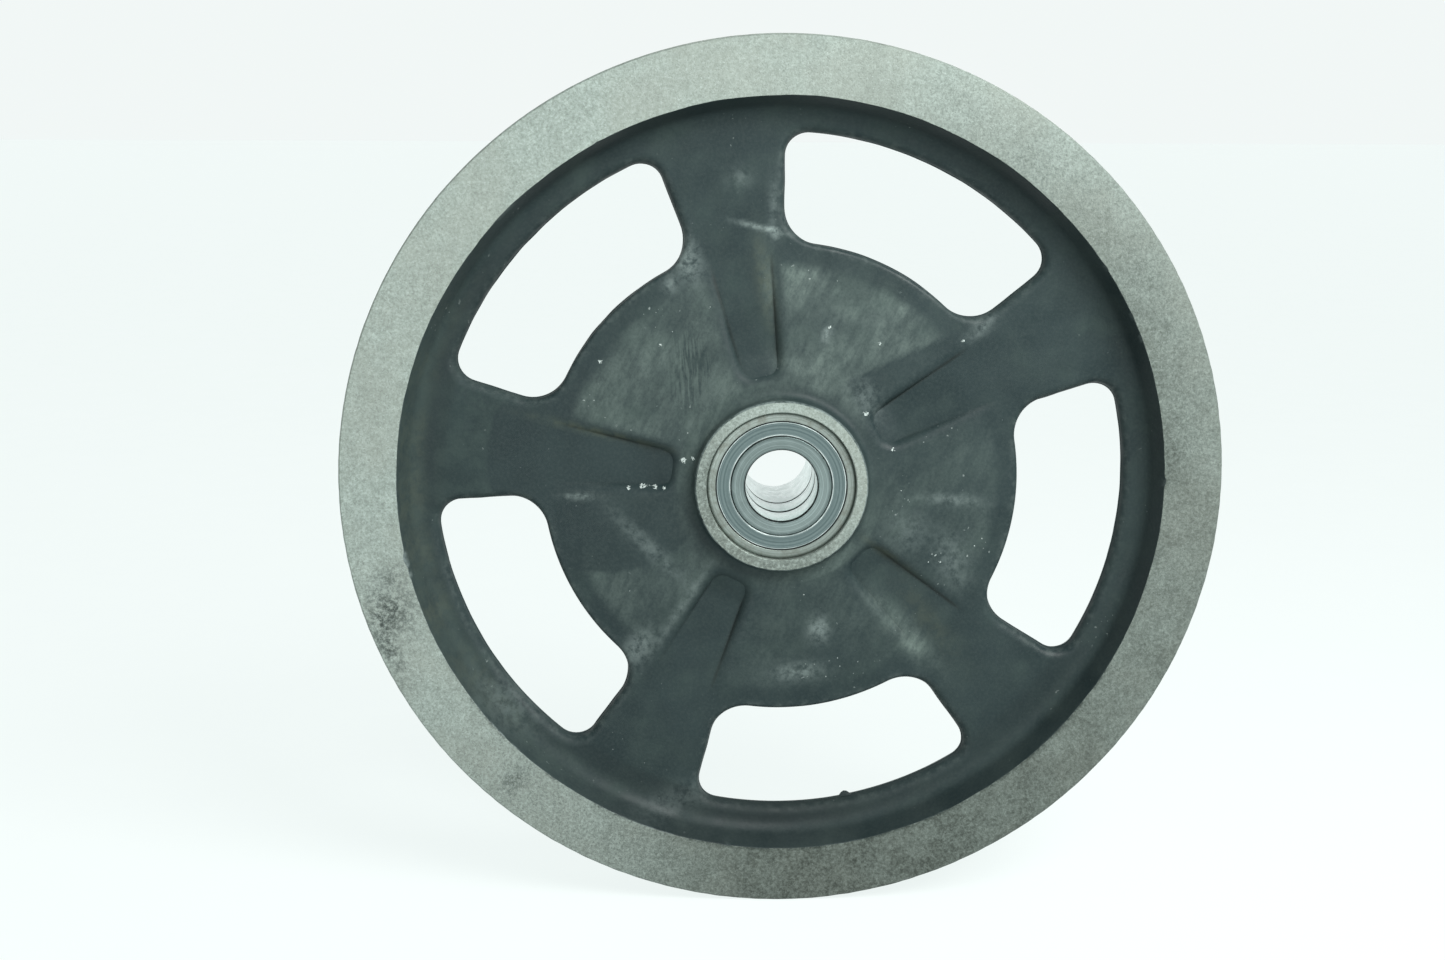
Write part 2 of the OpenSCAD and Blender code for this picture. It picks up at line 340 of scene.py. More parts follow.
def sheet_mesh():
    """Flat mesh of the web between its inner and outer circles, round the windows' outermost edge rings."""
    windows = [edge_rings(*window_outline(a)) for a in window_angles()]
    loops = [rings[-1][0] for rings in windows]
    loops += [circle(SHEET_OUT_R, ROUND_RIM), circle(SHEET_IN_R, ROUND_HUB)]
    lines = channel_lines()
    points, edges = [], []
    for loop in loops:
        first = len(points)
        points += loop.tolist()
        edges += [(first + i, first + (i + 1) % len(loop)) for i in range(len(loop))]
    for line in lines:
        first = len(points)
        points += line.tolist()
        edges += [(first + i, first + i + 1) for i in range(len(line) - 1)]
    points += filler_points(loops).tolist()
    flat, _, tris, source, _, _ = delaunay_2d_cdt(
        [Vector(p) for p in points], edges, [], 0, 1e-5, True
    )
    flat = np.array([tuple(p) for p in flat])
    place = {}
    for new, olds in enumerate(source):
        for old in olds:
            place[old] = new
    tris = np.array([t for t in tris if len(t) == 3])
    middle = flat[tris].mean(1)
    radius = np.hypot(middle[:, 0], middle[:, 1])
    drop = radius < SHEET_IN_R * math.cos(math.pi / ROUND_HUB)
    for loop in loops[:SPOKES]:
        drop |= inside(middle, loop)
    tris = tris[~drop]
    loop_ids, first = [], 0
    for loop in loops:
        loop_ids.append(np.array([place[first + i] for i in range(len(loop))]))
        first += len(loop)
    return flat, tris, windows, loop_ids


def inside(points, loop):
    """Which points lie inside a closed flat loop."""
    x, y = points[:, 0][:, None], points[:, 1][:, None]
    ax, ay = loop[:, 0], loop[:, 1]
    bx, by = np.roll(ax, -1), np.roll(ay, -1)
    result = np.zeros(len(points), bool)
    for part in np.array_split(np.arange(len(points)), max(1, len(points) // 4000)):
        crosses = (ay > y[part]) != (by > y[part])
        with np.errstate(divide="ignore", invalid="ignore"):
            at = ax + (y[part] - ay) * (bx - ax) / (by - ay)
        result[part] = (crosses & (x[part] < at)).sum(1) % 2 == 1
    return result


# ---------- profiles of the casting outside and inside the web ----------


def arc_points(centre_r, centre_h, radius, start, end, count):
    """Profile points along an arc between two angles in degrees."""
    angles = np.radians(np.linspace(start, end, count))
    return [(centre_r + radius * math.cos(a), centre_h + radius * math.sin(a)) for a in angles]


def rim_half():
    """From the cove to the groove, as (radius, height above the parting plane)."""
    first = math.degrees(math.asin((SHEET_OUT_R - COVE_CENTRE_R) / COVE_R)) - 90
    cove = arc_points(COVE_CENTRE_R, COVE_CENTRE_H, COVE_R, first, -24, 6)[1:]
    top_r, top_h = cove[-1]
    wall = [(top_r + (SIDE_IN_R - top_r) * t, top_h + (FACE_Y - top_h) * t) for t in (0.35, 0.7, 0.93)]
    edge = [(SIDE_IN_R - 0.06, FACE_Y - 0.14), (SIDE_IN_R + 0.1, FACE_Y), (SIDE_IN_R + 0.35, FACE_Y)]
    face = [(SIDE_IN_R + t, FACE_Y) for t in (1.2, 4, 8, 12, 16, 18.4)]
    bevel = [(RIM_R - RIM_BEVEL - 0.2, FACE_Y), (RIM_R - RIM_BEVEL, FACE_Y), (RIM_R, FACE_Y - RIM_BEVEL)]
    mouth = GROOVE_W / 2
    land = [(RIM_R, FACE_Y - RIM_BEVEL - 0.3), (RIM_R, mouth + 0.6), (RIM_R - 0.09, mouth + 0.12)]
    slope = math.tan(GROOVE_HALF_ANGLE)
    floor_r = RIM_R - GROOVE_DEPTH
    wall_in = [(RIM_R - d, mouth - d * slope) for d in (0.35, 0.9, 5, 10, 14.0)]
    floor = [(floor_r + 0.35, mouth - 14.7 * slope), (floor_r, mouth - GROOVE_DEPTH * slope - 0.4)]
    return cove + wall + edge + face + bevel + land + wall_in + floor


def hub_half(boss_r, boss_h):
    """From the hub disc up the boss's fillet and side to its end."""
    root_r = boss_r + BOSS_DRAFT
    slope = math.atan(CONE_H / (CONE_FOOT_R - root_r))
    root_h = WEB_H + CONE_H
    centre_r = root_r + BOSS_FILLET
    centre_h = root_h + BOSS_FILLET * math.tan((math.pi / 2 - slope) / 2)
    fillet = arc_points(centre_r, centre_h, BOSS_FILLET, 270 - math.degrees(slope), 180, 8)
    base_r, base_h = fillet[-1]
    disc = [(r, float(cone_height(np.array(r)))) for r in (SHEET_IN_R - 0.7, SHEET_IN_R - 1.6)]
    disc = [d for d in disc if d[0] > fillet[0][0] + 0.3]
    side = [(base_r + (boss_r - base_r) * t, base_h + (boss_h - base_h) * t) for t in (0.4, 0.8)]
    edge = [(boss_r + 0.02, boss_h - 0.35), (boss_r - 0.02, boss_h - 0.12), (boss_r - 0.16, boss_h)]
    return disc + fillet + side + edge


def seat_profile():
    """The boss's front face, the bearing seat, the retaining ring's groove and the rear boss's end."""
    front_h = FACE_Y - BOSS_INSET
    groove_end = -STACK_END_Y - RETAINER_W
    face = [(BOSS_R - 0.5, front_h), (SEAT_R + 2, front_h), (SEAT_R + 0.75, front_h)]
    seat = [(SEAT_R + 0.3, front_h), (SEAT_R + 0.05, front_h - 0.25), (SEAT_R, front_h - 0.5)]
    bore = [(SEAT_R, front_h - 2), (SEAT_R, 0), (SEAT_R, -STACK_END_Y + 0.2), (SEAT_R, -STACK_END_Y)]
    deep, edge = RETAINER_R, RETAINER_R - 0.2
    ring = [(edge, -STACK_END_Y), (deep, -STACK_END_Y - 0.2), (deep, groove_end + 0.2), (edge, groove_end)]
    back = [(SEAT_R, groove_end), (SEAT_R, groove_end - 0.2), (SEAT_R, -HUB_BACK_Y + 0.7)]
    end = [(SEAT_R + 0.5, -HUB_BACK_Y), (SEAT_R + 1, -HUB_BACK_Y), (BOSS_BACK_R - 0.6, -HUB_BACK_Y)]
    return face + seat + bore + ring + back + end


def both_sides(half):
    """Profile that goes on with its own mirror image."""
    return half + [(r, -h) for r, h in reversed(half)]


def loops_of(profile, count):
    """Rings of points for each profile step, in row order (x, y, z)."""
    angles = np.arange(count) * TAU / count
    profile = np.array(profile)
    x = profile[:, 0][:, None] * np.cos(angles)
    z = profile[:, 0][:, None] * np.sin(angles)
    y = np.repeat(-profile[:, 1][:, None], count, axis=1)
    return np.stack([x, y, z], axis=2)


def bridge(a, b):
    """Quads between two closed rings of vertex numbers."""
    a, b = np.asarray(a), np.asarray(b)
    return np.column_stack([a, np.roll(a, -1), np.roll(b, -1), b])


# Nicks on the rim's inner edge: angle in degrees, width in mm, depth in mm.
NICKS = [
    (1.0, 1.4, 0.75), (191.0, 2.3, 0.9), (193.5, 1.0, 0.55), (35.0, 0.9, 0.35), (118.0, 0.8, 0.3),
    (262.0, 1.2, 0.4),
]
# Lump of flash left in the lowest window.
NUB_ANGLE = math.radians(-78)
NUB_H = 1.7
NUB_HALF = 1.6


def wear_rim(loops):
    """Makes the front face's inner and outer edges slightly uneven, with a few nicks."""
    r = np.hypot(loops[..., 0], loops[..., 2])
    angle = np.arctan2(loops[..., 2], loops[..., 0])
    height = np.abs(loops[..., 1])
    near_in = np.exp(-(((r - SIDE_IN_R) / 0.9) ** 2)) * smooth((height - FACE_Y + 2.5) / 2)
    x, z = SIDE_IN_R * np.cos(angle), SIDE_IN_R * np.sin(angle)
    push = 0.14 * ripple(x, z, 31, 11) + 0.05 * ripple(x, z, 7, 12)
    for degrees, width, depth in NICKS:
        gap = angle_gap(angle, math.radians(degrees)) * SIDE_IN_R
        push = push + depth * np.exp(-((gap / width) ** 2)) * (loops[..., 1] < 0)
    near_out = np.exp(-(((r - RIM_R) / 0.5) ** 2)) * smooth((height - FACE_Y + 1.2) / 0.6)
    pull = 0.05 * (1 + ripple(x, z, 5, 13)) * near_out
    scale = (r + push * near_in - pull) / r
    loops[..., 0] *= scale
    loops[..., 2] *= scale
    return loops


def casting():
    """Vertices of the whole casting, and its faces with the surface that each block has."""
    flat, tris, windows, loop_ids = sheet_mesh()
    height = face_height(flat[:, 0], flat[:, 1])
    verts, faces = [], []
    total = 0

    def add_verts(block):
        nonlocal total
        first = total
        verts.append(block.reshape(-1, 3))
        total += len(verts[-1])
        return first

    def add_faces(block, kind):
        faces.append((np.asarray(block), kind))

    def rows_of(loops, borders):
        """Adds rings of points and gives their vertex numbers, between the two rings that they join."""
        count = loops.shape[1]
        ids = add_verts(loops)
        return [borders[0], *(ids + i * count + np.arange(count) for i in range(len(loops))), borders[1]]

    parting = []
    for rings in windows:
        points, _ = rings[0]
        centre = points.mean(0)
        inward = centre - points
        inward /= np.linalg.norm(inward, axis=1)[:, None]
        angle = np.arctan2(points[:, 1], points[:, 0])
        radius = np.hypot(points[:, 0], points[:, 1])
        flash = 0.08 + 0.07 * ripple(points[:, 0], points[:, 1], 11, 21)
        gap = angle_gap(angle, NUB_ANGLE) * WINDOW_OUT_R
        nub = NUB_H * np.exp(-((gap / NUB_HALF) ** 4)) * (radius > WINDOW_OUT_R - 2)
        reach = EDGE_DRAFT + np.clip(flash, 0, 1) + nub
        moved = points + inward * reach[:, None]
        block = np.column_stack([moved[:, 0], 0 * angle, moved[:, 1]])
        parting.append((add_verts(block), len(points)))

    rim_borders, hub_borders = [], []
    for side in (-1, 1):
        first = add_verts(np.column_stack([flat[:, 0], side * height, flat[:, 1]]))
        add_faces(tris + first, "cast")
        for w, rings in enumerate(windows):
            start, count = parting[w]
            before = start + np.arange(count)
            for k, (points, drop) in enumerate(rings[:-1]):
                level = face_height(points[:, 0], points[:, 1]) - drop
                if k == 0:
                    near = np.minimum(0.55, level * 0.6)
                    ids = add_verts(np.column_stack([points[:, 0], side * near, points[:, 1]]))
                    add_faces(bridge(before, ids + np.arange(count)), "cast")
                    before = ids + np.arange(count)
                ids = add_verts(np.column_stack([points[:, 0], side * level, points[:, 1]]))
                now = ids + np.arange(count)
                add_faces(bridge(before, now), "cast")
                before = now
            add_faces(bridge(before, first + loop_ids[w]), "cast")
        rim_borders.append(first + loop_ids[SPOKES])
        hub_borders.append(first + loop_ids[SPOKES + 1])

    profile = both_sides(rim_half())
    rows = rows_of(wear_rim(loops_of(profile, ROUND_RIM)), rim_borders)
    machined = [abs(h) > FACE_Y - 0.1 or r > SIDE_IN_R + 0.2 for r, h in profile]
    for i in range(len(rows) - 1):
        steps = [j for j in (i - 1, i) if 0 <= j < len(profile)]
        add_faces(bridge(rows[i], rows[i + 1]), "bare" if all(machined[j] for j in steps) else "cast")

    front = hub_half(BOSS_R, FACE_Y - BOSS_INSET)
    back = hub_half(BOSS_BACK_R, HUB_BACK_Y)
    middle = seat_profile()
    profile = front + middle + [(r, -h) for r, h in reversed(back)]
    rows = rows_of(loops_of(profile, ROUND_HUB), hub_borders)
    for i in range(len(rows) - 1):
        bare = len(front) <= i <= len(front) + len(middle)
        add_faces(bridge(rows[i], rows[i + 1]), "bare" if bare else "cast")
    return np.concatenate(verts), faces


# ---------- mesh objects ----------

SHARP_ANGLE = math.radians(32)


def new_object(name, data):
    """Object in the scene that shows some data."""
    item = bpy.data.objects.new(name, data)
    bpy.context.scene.collection.objects.link(item)
    return item


def build_mesh(name, verts, faces, materials):
    """Mesh object from millimetre points and blocks of (faces, kind), with one material for each kind."""
    mesh = bpy.data.meshes.new(name)
    kinds = list(dict.fromkeys(kind for _, kind in faces))
    polygons = [f for block, _ in faces for f in block.tolist()]
    mesh.from_pydata((verts * MM).tolist(), [], polygons)
    slots = np.concatenate([np.full(len(block), kinds.index(kind)) for block, kind in faces])
    mesh.polygons.foreach_set("material_index", slots.astype(np.int32))
    for kind in kinds:
        mesh.materials.append(materials[kind])
    piece = new_object(name, mesh)
    face_outward(mesh)
    mesh.shade_smooth()
    mesh.set_sharp_from_angle(angle=SHARP_ANGLE)
    return piece


def face_outward(mesh):
    """Turns every face of a closed mesh outward."""
    cage = bmesh.new()
    cage.from_mesh(mesh)
    bmesh.ops.recalc_face_normals(cage, faces=cage.faces)
    cage.to_mesh(mesh)
    cage.free()


def revolved(name, profile, material):
    """Closed ring from a closed (radius, y) profile."""
    loops = loops_of([(r, -y) for r, y in profile], ROUND_BEARING)
    rows = [i * ROUND_BEARING + np.arange(ROUND_BEARING) for i in range(len(profile))]
    faces = [(bridge(rows[i], rows[(i + 1) % len(rows)]), "only") for i in range(len(rows))]
    return build_mesh(name, loops.reshape(-1, 3), faces, {"only": material})


def rounded(profile, radius, steps):
    """Profile with each corner made a short arc."""
    result = []
    for i, corner in enumerate(profile):
        point = np.array(corner, float)
        before = np.array(profile[i - 1], float) - point
        after = np.array(profile[(i + 1) % len(profile)], float) - point
        a = before / np.linalg.norm(before)
        b = after / np.linalg.norm(after)
        for t in np.linspace(0, 1, steps + 1):
            result.append(tuple(point + a * radius * (1 - t) ** 2 + b * radius * t**2))
    return result


# ---------- materials ----------


class Shader:
    """Small helper that writes a procedural Principled material."""

    def __init__(self, name, **surface):
        self.material = bpy.data.materials.new(name)
        self.material.use_nodes = True
        self.tree = self.material.node_tree
        self.surface = self.tree.nodes["Principled BSDF"]
        self.place = self.add("ShaderNodeTexCoord").outputs["Object"]
        self.colour = None
        for socket, value in surface.items():
            self.set(socket.replace("_", " "), value)

    def add(self, kind, inputs=None, **settings):
        node = self.tree.nodes.new(kind)
        for key, value in settings.items():
            setattr(node, key, value)
        for key, value in (inputs or {}).items():
            self.feed(node.inputs[key], value)
        return node

    def feed(self, socket, value):
        if isinstance(value, bpy.types.NodeSocket):
            self.tree.links.new(value, socket)
        else:
            socket.default_value = value

    def set(self, socket, value):
        self.feed(self.surface.inputs[socket], value)

    def math(self, operation, a, b=0.0):
        node = self.add("ShaderNodeMath", operation=operation)
        self.feed(node.inputs[0], a)
        self.feed(node.inputs[1], b)
        return node.outputs[0]

    def times(self, a, b):
        return self.math("MULTIPLY", a, b)

    def coat(self, amount, shade):
        """Lays a shade over the colour so far."""
        self.colour = self.mix(amount, self.colour, shade)

    def noise(self, size, detail=2.0, rough=0.5, stretch=None, where=None, shift=0.0):
        """Noise from 0 to 1 whose lumps are about size mm across."""
        where = where or self.place
        if stretch or shift:
            scale = stretch or (1, 1, 1)
            node = self.add("ShaderNodeMapping", {"Vector": where, "Scale": scale, "Location": (shift,) * 3})
            where = node.outputs[0]
        node = self.add(
            "ShaderNodeTexNoise",
            {"Vector": where, "Scale": 1 / (size * MM), "Detail": detail, "Roughness": rough},
        )
        return node.outputs["Fac"]

    def grade(self, value, low, high, start=0.0, end=1.0):
        """Smooth step of a value between low and high, given out between start and end."""
        node = self.add(
            "ShaderNodeMapRange",
            {"Value": value, "From Min": low, "From Max": high, "To Min": start, "To Max": end},
            interpolation_type="SMOOTHSTEP",
        )
        return node.outputs[0]

    def mix(self, factor, a, b):
        node = self.add("ShaderNodeMix", data_type="RGBA")
        self.feed(node.inputs[0], factor)
        for socket, value in ((node.inputs[6], a), (node.inputs[7], b)):
            self.feed(socket, value if isinstance(value, bpy.types.NodeSocket) else (*value, 1.0))
        return node.outputs[2]

    def turned(self, degrees):
        """Object coordinates turned round the axle."""
        node = self.add("ShaderNodeMapping", {"Vector": self.place, "Rotation": (0, math.radians(degrees), 0)})
        return node.outputs[0]

    def mask(self, name):
        return self.add("ShaderNodeAttribute", attribute_name=name).outputs["Fac"]

    def bump(self, height, depth, strength=1.0, normal=None):
        node = self.add("ShaderNodeBump", {"Height": height, "Distance": depth * MM, "Strength": strength})
        if normal:
            self.feed(node.inputs["Normal"], normal)
        return node.outputs[0]

    def radius(self):
        """Distance from the axle in metres."""
        split = self.add("ShaderNodeSeparateXYZ", {"Vector": self.place})
        square = [self.times(split.outputs[a], split.outputs[a]) for a in ("X", "Z")]
        return self.math("SQRT", self.math("ADD", *square))

    def rings(self, size):
        """Concentric marks about size mm apart."""
        node = self.add(
            "ShaderNodeTexNoise",
            {"W": self.radius(), "Scale": 1 / (size * MM), "Detail": 3.0},
            noise_dimensions="1D",
        )
        return node.outputs["Fac"]


def painted_cast():
    """Dark satin paint, with film, dust, stains, chalk and flecks where the casting's masks put them; painted
    shade in the creases, cove and wall, and a painted highlight along edges.
    """
    s = Shader("painted_cast", Specular_IOR_Level=0.18)
    grain = s.noise(1.1, 3, 0.6)
    cloud = s.noise(22, 4, 0.55)
    patch = s.noise(7, 4, 0.6)
    streak = s.noise(3.2, 4, 0.6, stretch=(1.0, 1.0, 0.42))
    brush = s.noise(2.2, 4, 0.62, stretch=(1.0, 1.0, 0.17), where=s.turned(-28))
    streak = s.math("ADD", s.times(streak, 0.4), s.times(brush, 0.6))
    s.colour = s.mix(s.grade(cloud, 0.3, 0.7), (0.0098, 0.0192, 0.0205), (0.0148, 0.0262, 0.0272))
    s.coat(s.grade(grain, 0.35, 0.75, 0.0, 0.3), (0.034, 0.047, 0.0455))
    film = s.times(s.mask("film"), s.grade(patch, 0.3, 0.72, 0.25, 1.0))
    s.coat(s.times(film, 0.56), (0.035, 0.053, 0.048))
    dusty = s.times(s.mask("dust"), s.grade(streak, 0.34, 0.66, 0.4, 1.1))
    dusty = s.times(dusty, s.grade(grain, 0.25, 0.6, 0.65, 1.0))
    dusty = s.times(dusty, s.grade(s.noise(15, 3, 0.5, shift=0.31), 0.35, 0.62, 0.4, 1.1))
    comb = s.grade(s.noise(0.75, 2, 0.5, stretch=(1.0, 1.0, 0.05), where=s.turned(4)), 0.42, 0.62)
    dusty = s.math("ADD", dusty, s.times(s.mask("comb"), s.math("SUBTRACT", comb, 0.4)))
    s.coat(s.math("MAXIMUM", s.math("MINIMUM", dusty, 0.95), 0.0), (0.092, 0.122, 0.11))
    rust = s.grade(s.noise(4, 4, 0.65, shift=1.7), 0.36, 0.62, 0.2, 1.0)
    brown = s.times(s.mask("brown"), rust)
    s.coat(s.times(brown, 0.7), (0.056, 0.067, 0.047))
    chalk = s.times(s.mask("chalk"), s.grade(s.noise(3.0, 4, 0.7), 0.3, 0.66))
    s.coat(chalk, (0.19, 0.235, 0.225))
    dots = s.grade(s.noise(1.3, 1, 0.4, shift=0.7), 0.72, 0.76)
    few = s.grade(s.noise(14, 2, 0.5, shift=1.3), 0.54, 0.68)
    specks = s.times(s.times(dots, few), s.mask("specks"))
    ragged = s.grade(s.noise(0.45, 2, 0.6, shift=0.2), 0.3, 0.7, 0.4, 1.15)
    grit = s.grade(s.times(s.mask("flecks"), ragged), 0.46, 0.62)
    specks = s.math("MAXIMUM", s.times(specks, 0.6), s.times(grit, 0.85))
    s.coat(specks, (0.42, 0.48, 0.46))
    # Painted shade with dirt: a dark brownish line in each channel's crease.
    s.coat(s.times(s.mask("crease"), 0.8), (0.007, 0.008, 0.006))
    # Lighter paint along the window edges and the channels' crests: wear, and a painted highlight.
    rubbed_and_highlit = s.times(s.mask("edge"), s.grade(s.noise(3.2, 4, 0.65), 0.42, 0.7))
    s.coat(s.times(rubbed_and_highlit, 0.45), (0.062, 0.08, 0.076))
    s.coat(s.mask("shade"), (0.004, 0.006, 0.006))
    s.set("Base Color", s.colour)
    rough = s.math("ADD", s.grade(cloud, 0.3, 0.7, 0.42, 0.52), s.times(dusty, 0.22))
    rough = s.math("ADD", rough, s.times(s.mask("film"), 0.3))
    s.set("Roughness", s.math("MINIMUM", rough, 0.85))
    coarse = s.bump(s.noise(3.5, 3, 0.6), 0.14, 0.55)
    s.set("Normal", s.bump(s.noise(0.8, 3, 0.65), 0.06, 0.8, coarse))
    return s.material


def bare_face():
    """Machined face of the casting, mottled and stained, with a painted shade across the boss face."""
    s = Shader("bare_face", Metallic=0.5)
    blotch = s.noise(4.5, 3, 0.6, shift=0.6)
    mottle = s.math("ADD", s.times(s.noise(0.95, 5, 0.75), 0.76), s.times(blotch, 0.24))
    cloud = s.noise(24, 3, 0.5)
    speck = s.noise(0.55, 2, 0.6)
    worn = s.mask("worn")
    s.colour = s.mix(s.grade(mottle, 0.34, 0.66), (0.172, 0.206, 0.184), (0.305, 0.362, 0.33))
    s.coat(s.grade(cloud, 0.35, 0.68, 0.0, 0.5), (0.235, 0.263, 0.232))
    dark = s.times(s.grade(speck, 0.5, 0.68), s.grade(mottle, 0.3, 0.6, 0.3, 0.9))
    dark = s.times(dark, s.math("ADD", worn, 0.35))
    s.coat(s.times(dark, 0.75), (0.05, 0.058, 0.05))
    light = s.times(s.grade(s.noise(0.7, 3, 0.7, shift=0.4), 0.58, 0.68), 0.5)
    s.coat(light, (0.37, 0.43, 0.4))
    uneven = s.grade(s.noise(1.5, 5, 0.78, shift=1.1), 0.36, 0.64, 1.1, 0.72)
    uneven = s.times(uneven, s.grade(s.noise(9, 3, 0.6, shift=0.8), 0.35, 0.65, 1.05, 0.88))
    # Darker where the tone mask says: on the rim by angle, and as a painted shade across the boss face.
    s.coat(s.times(s.mask("tone"), uneven), (0.032, 0.038, 0.032))
    stain = s.times(s.mask("stain"), s.grade(s.noise(2.2, 5, 0.75, shift=0.2), 0.34, 0.6))
    s.coat(s.times(stain, 0.88), (0.02, 0.029, 0.026))
    chalk = s.times(s.mask("chalk"), s.grade(s.noise(1.1, 4, 0.7, shift=0.9), 0.47, 0.62))
    s.coat(s.times(chalk, 0.5), (0.36, 0.42, 0.39))
    s.set("Base Color", s.colour)
    s.set("Roughness", s.grade(mottle, 0.3, 0.7, 0.62, 0.46))
    s.set("Specular IOR Level", s.grade(s.mask("tone"), 0.0, 0.9, 0.5, 0.05))
    pits = s.bump(s.grade(speck, 0.5, 0.72, 1.0, 0.0), 0.05, 0.5)
    s.set("Normal", s.bump(mottle, 0.06, 0.4, pits))
    return s.material


def ring_steel(name, low, high, rough, ring_mm, depth, tint=None, bore=False, shield=False):
    """Ground steel with concentric marks. A bore is bright, with painted shade on its chamfer; a shield has
    bright edges, polished and with a painted highlight, and a painted shadow where it goes under the ring's
    mouth.
    """
    s = Shader(name, Metallic=1.0)
    marks = s.rings(ring_mm)
    s.colour = s.mix(s.grade(marks, 0.3, 0.7), low, high)
    dull = s.noise(3.2, 5, 0.65)
    if tint:
        s.coat(s.grade(dull, 0.42, 0.7, 0.0, 0.8), tint)
    radius = s.radius()

    def between(low_r, high_r, soft_in, soft_out):
        """1 where the radius in mm lies between the two."""
        inner = s.grade(radius, (low_r - soft_in) * MM, low_r * MM)
        return s.times(inner, s.grade(radius, high_r * MM, (high_r + soft_out) * MM, 1.0, 0.0))

    if shield:
        # Painted highlights on the shield's rolled inner lip and on its outer edge, broken up by patchy wear.
        for low_r, high_r in ((SHIELD_IN_R + 0.22, SHIELD_IN_R + 0.6), (MOUTH_R - 0.72, MOUTH_R - 0.5)):
            wear_and_glint = s.grade(s.noise(9, 2, 0.5), 0.35, 0.6, 0.35, 1.0)
            s.coat(s.times(between(low_r, high_r, 0.04, 0.06), wear_and_glint), (0.5, 0.56, 0.55))
        # Painted shadow in the gap under the ring's mouth.
        gap = s.grade(radius, (MOUTH_R - 0.44) * MM, (MOUTH_R - 0.36) * MM)
        s.coat(s.times(gap, 0.9), (0.02, 0.02, 0.02))
    if bore:
        # Painted shade in the bore's chamfer, where the rings and the sleeve meet.
        s.coat(s.times(between(BORE_R + 0.04, BORE_R + 0.4, 0.03, 0.2), 0.93), (0.02, 0.022, 0.022))
        spots = s.grade(s.noise(0.9, 3, 0.6, shift=0.5), 0.56, 0.7, 0.0, 0.35)
        polished = s.mix(spots, (0.86, 0.935, 0.92), (0.45, 0.49, 0.48))
        s.colour = s.mix(s.grade(radius, BORE_R * MM, (BORE_R + 0.04) * MM), polished, s.colour)
    scratch = s.noise(0.8, 3, 0.6, stretch=(1.0, 1.0, 0.12), where=s.turned(38))
    s.coat(s.grade(scratch, 0.56, 0.68, 0.0, 0.3), high)
    s.set("Base Color", s.colour)
    s.set("Roughness", s.grade(dull, 0.35, 0.7, rough, rough + 0.16))
    s.set("Normal", s.bump(marks, depth, 0.6, s.bump(s.noise(0.4, 2), 0.004, 0.4)))
    return s.material


def plain_steel(name, low, high, rough, size=2.0):
    """Steel part inside the bearing, with a faint mottle."""
    s = Shader(name, Metallic=1.0)
    mottle = s.noise(size, 4, 0.6)
    s.set("Base Color", s.mix(s.grade(mottle, 0.3, 0.7), low, high))
    s.set("Roughness", s.grade(mottle, 0.3, 0.7, rough, rough + 0.12))
    s.set("Normal", s.bump(s.noise(size * 0.3, 2), 0.01, 0.3))
    return s.material


def floor_paper():
    """Pale paper that glows faintly, so that it stays an even near-white."""
    s = Shader("floor_paper", Specular_IOR_Level=0.1)
    s.set("Base Color", s.mix(s.noise(180, 3, 0.5), (0.095, 0.1, 0.1), (0.105, 0.11, 0.11)))
    s.set("Roughness", s.grade(s.noise(30, 2), 0.3, 0.7, 0.85, 0.95))
    s.set("Normal", s.bump(s.noise(1.5, 2), 0.02, 0.1))
    s.set("Emission Color", (0.93, 1.0, 0.985, 1.0))
    s.set("Emission Strength", 0.872)
    return s.material


# ---------- marks painted on the casting, worked out for each vertex ----------


def smudge(x, z, place, size, tilt=0.0, power=1.0):
    """Soft oval at (x, z) with half sizes in mm, its first size turned tilt degrees from +X."""
    angle = math.radians(tilt)
    u = (x - place[0]) * math.cos(angle) + (z - place[1]) * math.sin(angle)
    v = -(x - place[0]) * math.sin(angle) + (z - place[1]) * math.cos(angle)
    return np.exp(-(((u / size[0]) ** 2 + (v / size[1]) ** 2) ** power))


def on_circle(degrees, r):
    """Flat point at an angle and radius."""
    return r * math.cos(math.radians(degrees)), r * math.sin(math.radians(degrees))


# Dust on the hub disc, sector by sector from the one above the right-hand spoke.
SECTOR_DUST = (0.86, 0.64, 0.4, 0.22, 0.24)
# Lighter clouds of dust on the disc: place, half sizes, tilt, strength.
DUST_CLOUDS = [
    ((-46, 30), (10, 9), 20, 0.75),
    ((7, 41), (9, 5), 150, 0.9),
    ((27, 63), (16, 8), 320, 0.35),
    ((44, -54), (15, 4.2), 312, 1.3),
    ((-5, 71), (14, 2.6), 100, 0.5),
    ((-34, 52), (12, 14), 60, 0.3),
]
# Dirt and painted shade in the crease along each channel, on its clockwise side and on the other.
CREASE_DIRT_AND_SHADE = [(0.2, 0.7), (0.75, 0.62), (0.75, 0.15), (0.25, 0.75), (0.15, 0.85)]
# Brown streaks in the channels and along a crease: place, half sizes, tilt, strength.
BROWN_STREAKS = [
    ((-6, 70), (15, 2.8), 100, 0.7),
    ((53, -50), (16, 4.0), 306, 0.4),
    ((39, -26.5), (11, 1.4), 324, 0.8),
    ((-62, 17.4), (22, 1.3), 166.5, 0.9),
]
